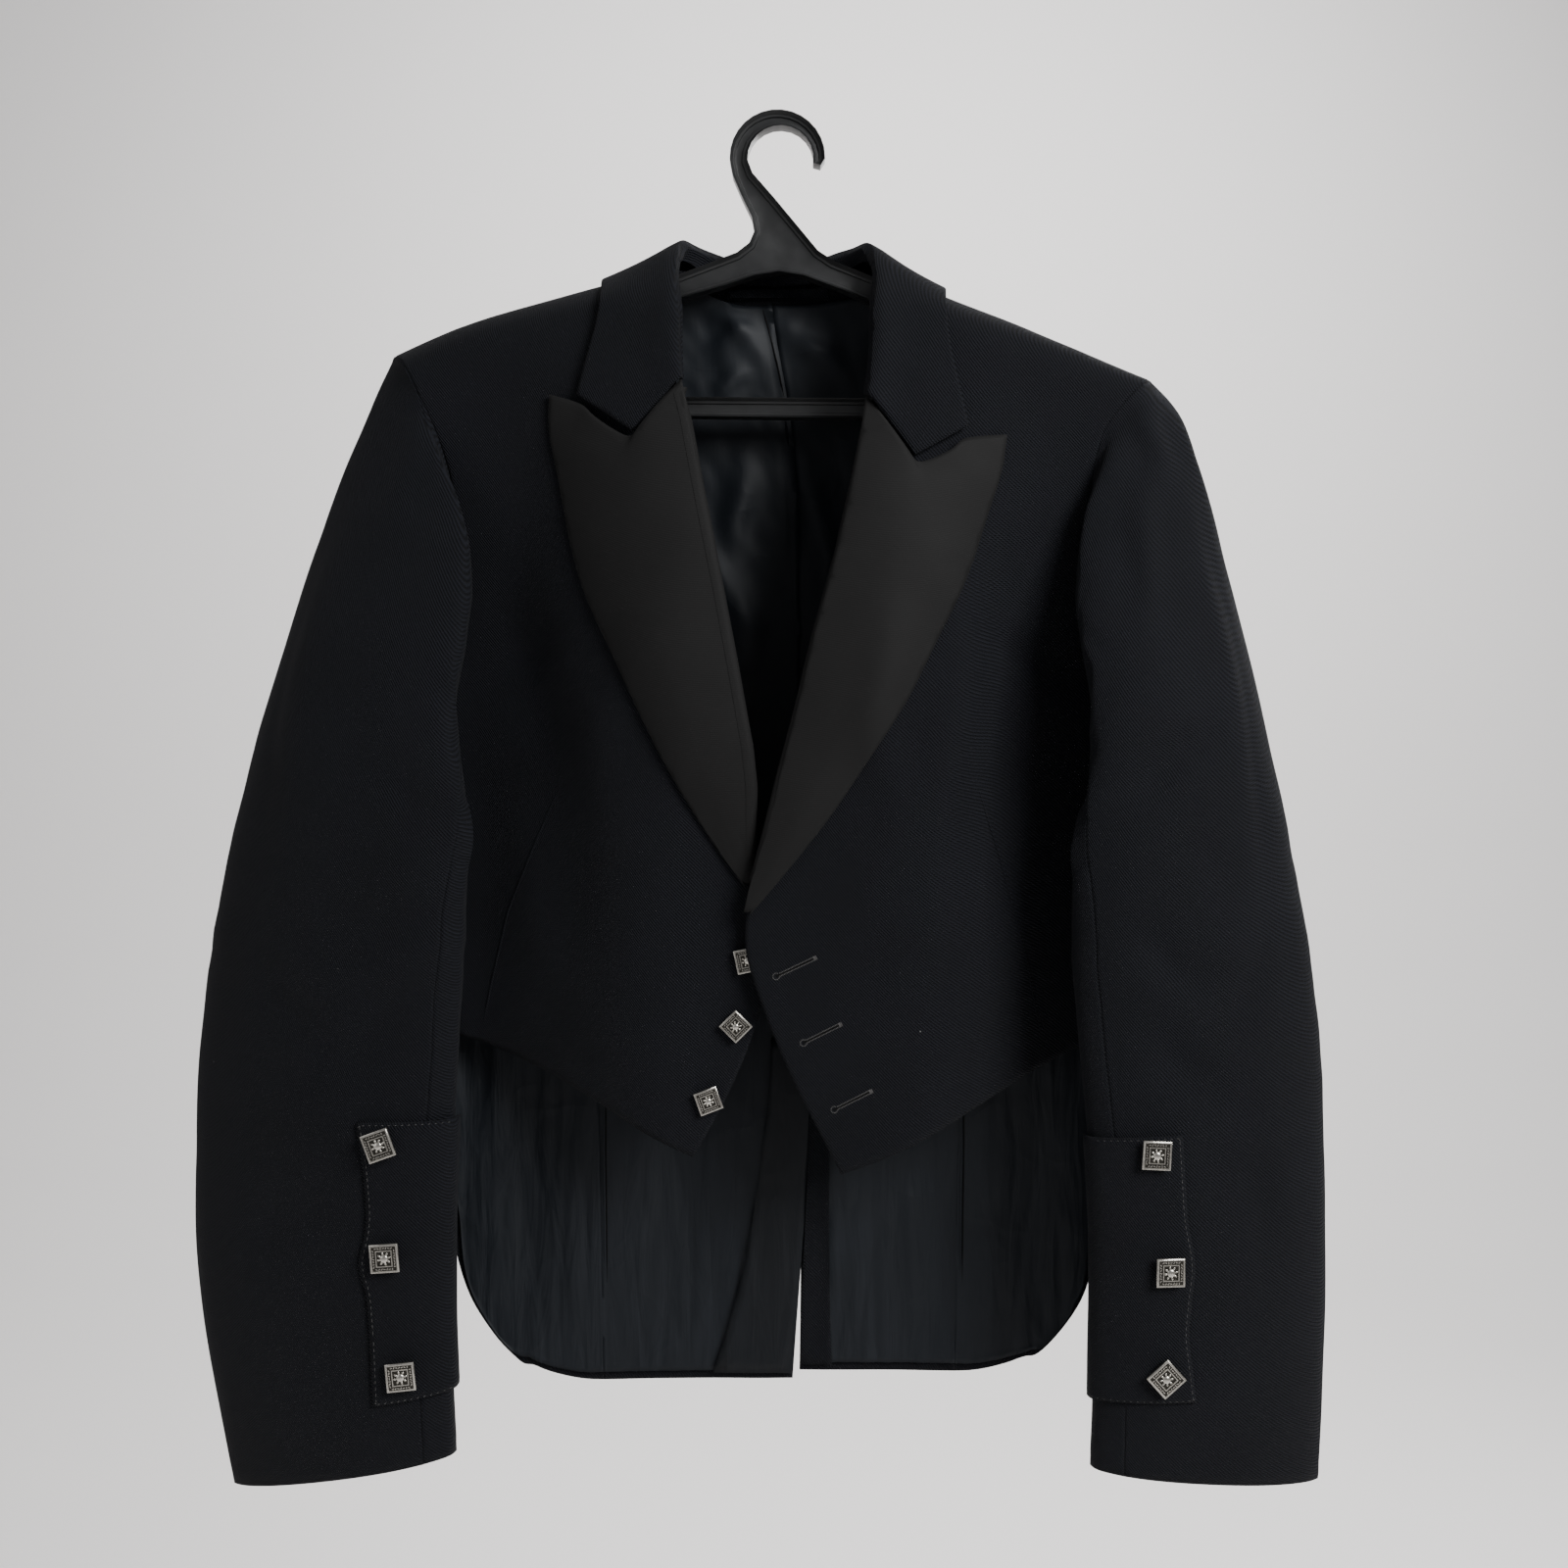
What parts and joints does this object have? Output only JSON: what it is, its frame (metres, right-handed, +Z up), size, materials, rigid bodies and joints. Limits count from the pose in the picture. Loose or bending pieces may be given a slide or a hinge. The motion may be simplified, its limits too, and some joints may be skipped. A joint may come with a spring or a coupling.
{
  "type": "prince charlie jacket on a hanger",
  "caption": "Black short evening jacket with pointed satin lapels, open front, square metal buttons and short tails, hung on a moulded plastic hanger.",
  "frame": {"origin": "inside top of the hanger's hook, where a nail or rail carries it", "axes": "+Z up, +X towards the jacket's own left sleeve, -Y out of the jacket's front; the hanger lies in the plane Y = 0"},
  "size_m": [0.6566, 0.1088, 0.802],
  "materials": {
    "wool": "matte twill",
    "satin": "soft satin",
    "lining": "satin",
    "black_plastic": "satin",
    "old_silver": "worn polish"
  },
  "bodies": {
    "root": {"front_left": "wool", "front_right": "wool", "back_left": "wool", "back_right": "wool", "side_left": "wool", "side_right": "wool", "topsleeve_left": "wool", "topsleeve_right": "wool", "undersleeve_left": "wool", "undersleeve_right": "wool", "cuff_flap_left": "wool", "cuff_flap_right": "wool", "collar": "wool", "vent_facing_left": "wool", "vent_facing_right": "wool", "neck_facing": "wool", "hanging_loop": "wool", "lapel_left": "satin", "lapel_right": "satin", "lining_back_left": "lining", "lining_back_right": "lining", "lining_side_left": "lining", "lining_side_right": "lining", "hanger": "black_plastic", "button_front_1": "old_silver", "button_front_2": "old_silver", "button_front_3": "old_silver", "button_cuff_left_1": "old_silver", "button_cuff_left_2": "old_silver", "button_cuff_left_3": "old_silver", "button_cuff_right_1": "old_silver", "button_cuff_right_2": "old_silver", "button_cuff_right_3": "old_silver"}
  },
  "joints": []
}
